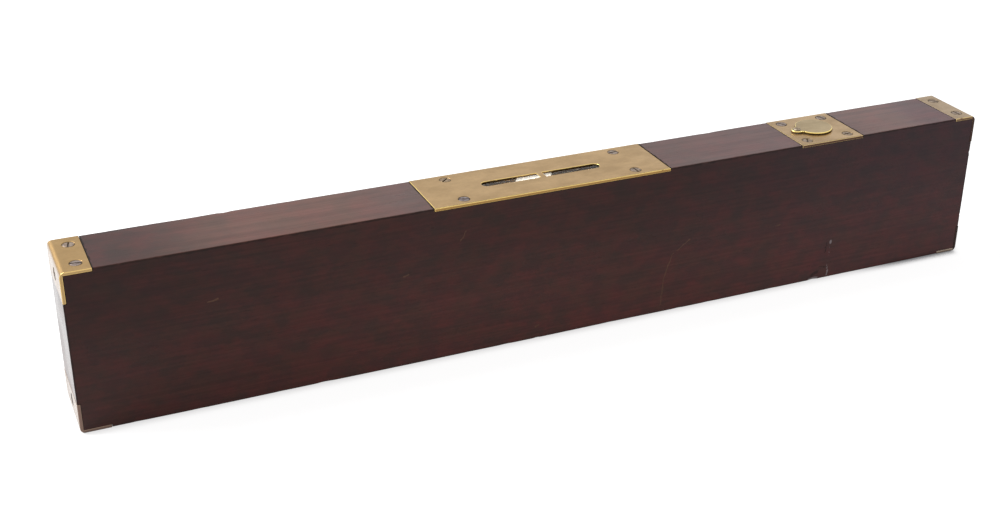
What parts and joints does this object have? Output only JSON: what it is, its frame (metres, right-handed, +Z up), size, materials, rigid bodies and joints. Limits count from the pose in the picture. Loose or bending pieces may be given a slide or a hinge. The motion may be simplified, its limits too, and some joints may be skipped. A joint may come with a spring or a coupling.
{
  "type": "sighting level",
  "caption": "Mahogany spirit level with brass tips, a slotted vial plate, and a mirror sight under a swivelling brass cover.",
  "frame": {"origin": "centre of the flat base, halfway along the stock and halfway across it", "axes": "+X along the stock towards the end that the sight looks out of, +Y across the stock, +Z up through the plates"},
  "size_m": [0.4572, 0.0334, 0.0778],
  "materials": {
    "mahogany": "old rubbed polish",
    "plate_brass": "aged matt brass",
    "cover_brass": "aged matt brass",
    "tip_brass": "aged matt brass",
    "inner_brass": "aged matt brass",
    "screw_metal": "dull oxidised steel",
    "washer_steel": "dull spring steel",
    "hair_wire": "blackened wire",
    "vial_glass": "clear old glass",
    "window_glass": "clear thin glass",
    "spirit": "clear yellowed liquid",
    "bubble": "clear bubble of air and vapour",
    "cork": "sealed cork",
    "plaster": "cast plaster",
    "block_wood": "plain sawn wood",
    "mirror": "front-silvered glass"
  },
  "bodies": {
    "level": {"stock": "mahogany", "top_plate": "plate_brass", "top_plate_screws": "screw_metal", "vial_bed": "plaster", "vial_glass": "vial_glass", "vial_stopper": "cork", "vial_spirit": "spirit", "sight_plate": "plate_brass", "sight_plate_screws": "screw_metal", "cover_pivot_screw": "screw_metal", "cover_washer": "washer_steel", "mirror_block": "block_wood", "sight_mirror": "mirror", "sight_tube": "inner_brass", "hair_ring": "inner_brass", "cross_hairs": "hair_wire", "sight_glass": "window_glass", "end_bush": "inner_brass", "tip_top_left": "tip_brass", "tip_top_right": "tip_brass", "tip_bottom_left": "tip_brass", "tip_bottom_right": "tip_brass", "tip_top_left_screws": "screw_metal", "tip_top_right_screws": "screw_metal", "tip_bottom_left_screws": "screw_metal", "tip_bottom_right_screws": "screw_metal"},
    "cover": {"sight_cover": "cover_brass"},
    "bubble": {"vial_bubble": "bubble"}
  },
  "joints": [
    {"name": "cover_swivel", "type": "hinge", "parent": "level", "child": "cover", "pos_m": [0.132, 0, 0.0763], "axis": [0, 0, 1], "continuous": true},
    {"name": "bubble_travel", "type": "slide", "parent": "level", "child": "bubble", "axis": [1, 0, 0], "range_m": [-0.0195, 0.0215]}
  ]
}
